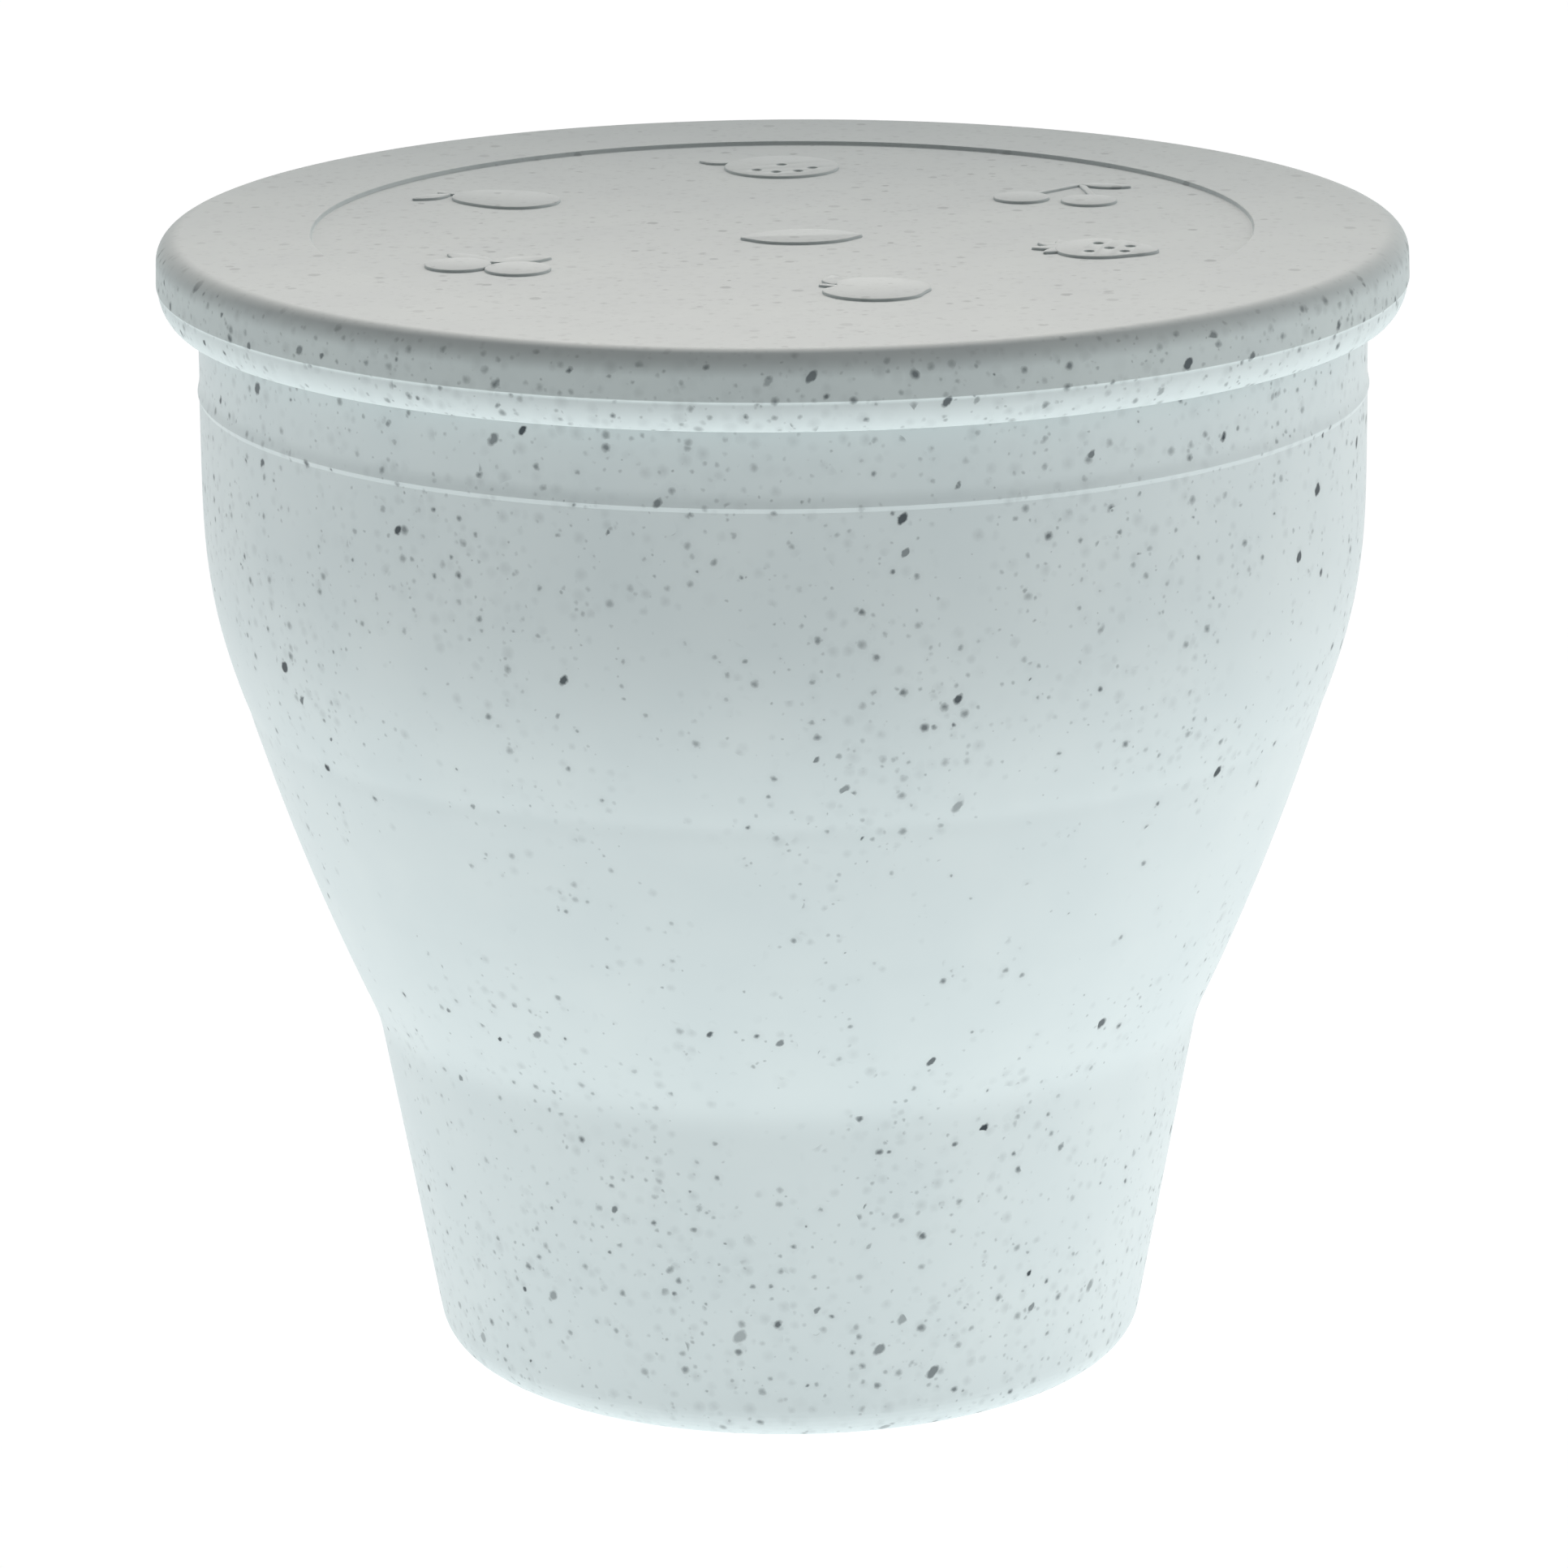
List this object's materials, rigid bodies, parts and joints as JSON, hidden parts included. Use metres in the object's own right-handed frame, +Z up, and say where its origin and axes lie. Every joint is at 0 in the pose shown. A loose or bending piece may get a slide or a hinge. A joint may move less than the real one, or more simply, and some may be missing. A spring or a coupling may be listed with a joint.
{
  "type": "collapsible snack cup",
  "caption": "Collapsible three-tier silicone snack cup for a toddler, with a slit spill guard in its rim and a press-on lid with a low fruit relief.",
  "frame": {"origin": "centre of the cup's foot, on the surface it stands on", "axes": "+Z up along the cup's axis; -Y towards the side the picture shows"},
  "size_m": [0.0958, 0.0958, 0.0892],
  "materials": {
    "cup_silicone": "matte, speckled",
    "guard_silicone": "matte, speckled",
    "lid_silicone": "matte, speckled"
  },
  "bodies": {
    "base_tier": {"cup_base": "cup_silicone", "cup_middle_wall": "cup_silicone"},
    "upper_tier": {"cup_upper_wall": "cup_silicone"},
    "spill_guard": {"spill_guard_ring": "guard_silicone"},
    "flap_1": {"guard_flap_1": "guard_silicone"},
    "flap_2": {"guard_flap_2": "guard_silicone"},
    "flap_3": {"guard_flap_3": "guard_silicone"},
    "flap_4": {"guard_flap_4": "guard_silicone"},
    "flap_5": {"guard_flap_5": "guard_silicone"},
    "flap_6": {"guard_flap_6": "guard_silicone"},
    "flap_7": {"guard_flap_7": "guard_silicone"},
    "flap_8": {"guard_flap_8": "guard_silicone"},
    "lid": {"lid": "lid_silicone"}
  },
  "joints": [
    {"name": "cup_collapse", "type": "slide", "parent": "base_tier", "child": "upper_tier", "axis": [0, 0, 1], "range_m": [-0.0502, 0], "deforming": ["cup_middle_wall"]},
    {"name": "guard_lift_out", "type": "slide", "parent": "upper_tier", "child": "spill_guard", "axis": [0, 0, 1], "range_m": [0, 0.04]},
    {"name": "lid_lift_off", "type": "slide", "parent": "spill_guard", "child": "lid", "axis": [0, 0, 1], "range_m": [0, 0.04]},
    {"name": "flap_1_flex", "type": "hinge", "parent": "spill_guard", "child": "flap_1", "pos_m": [0.024, 0, 0.0792], "axis": [0, -1, 0], "range_deg": [0, 65], "stiffness_Nm_per_rad": 0.0015, "springref_deg": -5.73},
    {"name": "flap_2_flex", "type": "hinge", "parent": "spill_guard", "child": "flap_2", "pos_m": [0.01697, 0.01697, 0.0792], "axis": [0.7071, -0.7071, 0], "range_deg": [0, 65], "stiffness_Nm_per_rad": 0.0015, "springref_deg": -5.73},
    {"name": "flap_3_flex", "type": "hinge", "parent": "spill_guard", "child": "flap_3", "pos_m": [0, 0.024, 0.0792], "axis": [1, 0, 0], "range_deg": [0, 65], "stiffness_Nm_per_rad": 0.0015, "springref_deg": -5.73},
    {"name": "flap_4_flex", "type": "hinge", "parent": "spill_guard", "child": "flap_4", "pos_m": [-0.01697, 0.01697, 0.0792], "axis": [0.7071, 0.7071, 0], "range_deg": [0, 65], "stiffness_Nm_per_rad": 0.0015, "springref_deg": -5.73},
    {"name": "flap_5_flex", "type": "hinge", "parent": "spill_guard", "child": "flap_5", "pos_m": [-0.024, 0, 0.0792], "axis": [0, 1, 0], "range_deg": [0, 65], "stiffness_Nm_per_rad": 0.0015, "springref_deg": -5.73},
    {"name": "flap_6_flex", "type": "hinge", "parent": "spill_guard", "child": "flap_6", "pos_m": [-0.01697, -0.01697, 0.0792], "axis": [-0.7071, 0.7071, 0], "range_deg": [0, 65], "stiffness_Nm_per_rad": 0.0015, "springref_deg": -5.73},
    {"name": "flap_7_flex", "type": "hinge", "parent": "spill_guard", "child": "flap_7", "pos_m": [0, -0.024, 0.0792], "axis": [-1, 0, 0], "range_deg": [0, 65], "stiffness_Nm_per_rad": 0.0015, "springref_deg": -5.73},
    {"name": "flap_8_flex", "type": "hinge", "parent": "spill_guard", "child": "flap_8", "pos_m": [0.01697, -0.01697, 0.0792], "axis": [-0.7071, -0.7071, 0], "range_deg": [0, 65], "stiffness_Nm_per_rad": 0.0015, "springref_deg": -5.73}
  ],
  "couplings": [
    {"joint": "flap_2_flex", "follows": "flap_1_flex", "ratio": 1},
    {"joint": "flap_3_flex", "follows": "flap_1_flex", "ratio": 1},
    {"joint": "flap_4_flex", "follows": "flap_1_flex", "ratio": 1},
    {"joint": "flap_5_flex", "follows": "flap_1_flex", "ratio": 1},
    {"joint": "flap_6_flex", "follows": "flap_1_flex", "ratio": 1},
    {"joint": "flap_7_flex", "follows": "flap_1_flex", "ratio": 1},
    {"joint": "flap_8_flex", "follows": "flap_1_flex", "ratio": 1}
  ]
}
